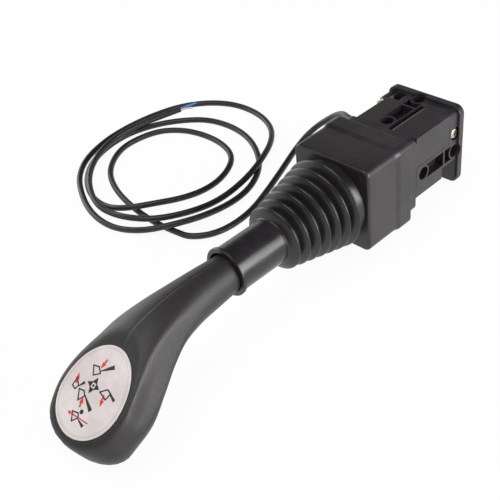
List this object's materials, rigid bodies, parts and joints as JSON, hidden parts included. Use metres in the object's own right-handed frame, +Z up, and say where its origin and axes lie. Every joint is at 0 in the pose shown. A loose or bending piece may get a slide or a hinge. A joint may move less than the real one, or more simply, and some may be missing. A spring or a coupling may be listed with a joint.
{
  "type": "two-axis joystick control lever",
  "caption": "Cross-gate control joystick: square plastic casing, rubber bellows boot, bent hand grip with symbol plate and push button, push rods, loose cord.",
  "frame": {"origin": "on the table under the middle of the control's box, cord left out", "axes": "+X along the table from the casing's end plate to the grip, +Y to the lever's right seen from the casing with the plate up, +Z up; the control lies tipped nose up by 5.56 degrees"},
  "size_m": [0.3278, 0.2654, 0.0697],
  "materials": {
    "case_plastic": "moulded, fine grain",
    "boot_rubber": "soft satin",
    "grip_plastic": "fine leather grain",
    "sleeve_plastic": "satin",
    "zinc_steel": "zinc plated",
    "spring_steel": "drawn wire",
    "die_cast": "as cast",
    "bearing_plastic": "natural acetal",
    "plate_plastic": "satin, pale pinkish grey",
    "button_plastic": "polished",
    "switch_plastic": "moulded",
    "cord_sheath": "smooth PVC",
    "core_blue": "PVC",
    "core_pale": "PVC"
  },
  "bodies": {
    "root": {"housing_front": "case_plastic", "housing_rear": "case_plastic", "case_screws": "zinc_steel", "boot_skirt": "boot_rubber", "boot_bellows": "boot_rubber", "pivot_bracket": "die_cast", "bracket_bushes": "bearing_plastic", "tilt_guides": "bearing_plastic", "sway_guides": "bearing_plastic", "tilt_springs": "spring_steel", "sway_springs": "spring_steel", "cord_grommet": "boot_rubber", "cord": "cord_sheath", "cord_coil": "cord_sheath", "cord_core_blue": "core_blue", "cord_core_pale": "core_pale"},
    "cross": {"cross_piece": "die_cast"},
    "lever": {"hub_bushes": "bearing_plastic", "lever_hub": "die_cast", "ball_studs": "zinc_steel", "lever_rod": "zinc_steel", "lock_nut": "zinc_steel", "lever_sleeve": "sleeve_plastic", "sleeve_nut": "zinc_steel", "grip_insert": "die_cast", "grip_left_half": "grip_plastic", "grip_right_half": "grip_plastic", "grip_screws": "zinc_steel", "symbol_plate": "plate_plastic", "button_bezel": "button_plastic", "button_spring": "spring_steel", "switch_carrier": "switch_plastic", "micro_switch": "switch_plastic", "switch_lead": "cord_sheath"},
    "button": {"push_button": "button_plastic"},
    "tilt_pusher": {"tilt_rod": "zinc_steel", "tilt_fork": "bearing_plastic", "tilt_collar": "zinc_steel"},
    "sway_pusher": {"sway_rod": "zinc_steel", "sway_fork": "bearing_plastic", "sway_collar": "zinc_steel"}
  },
  "joints": [
    {"name": "lever_tilt", "type": "hinge", "parent": "root", "child": "cross", "pos_m": [-0.07893, 0, 0.03751], "axis": [0, 1, 0], "range_deg": [-20, 20], "stiffness_Nm_per_rad": 6, "deforming": ["boot_bellows"]},
    {"name": "lever_sway", "type": "hinge", "parent": "cross", "child": "lever", "pos_m": [-0.07893, 0, 0.03751], "axis": [-0.0968, 0, 0.9953], "range_deg": [-20, 20], "stiffness_Nm_per_rad": 6},
    {"name": "tilt_slide", "type": "slide", "parent": "root", "child": "tilt_pusher", "axis": [0.9953, 0, 0.0968], "range_m": [-0.0075, 0.0075], "deforming": ["tilt_springs"]},
    {"name": "sway_slide", "type": "slide", "parent": "root", "child": "sway_pusher", "axis": [0.9953, 0, 0.0968], "range_m": [-0.0075, 0.0075], "deforming": ["sway_springs"]},
    {"name": "button_press", "type": "slide", "parent": "lever", "child": "button", "axis": [0.4453, 0, 0.8954], "range_m": [0, 0.0025], "stiffness_N_per_m": 900, "springref_m": -0.002, "deforming": ["button_spring"]}
  ],
  "couplings": [
    {"joint": "tilt_slide", "follows": "lever_tilt", "m_per_rad": 0.021},
    {"joint": "sway_slide", "follows": "lever_sway", "m_per_rad": -0.021}
  ]
}
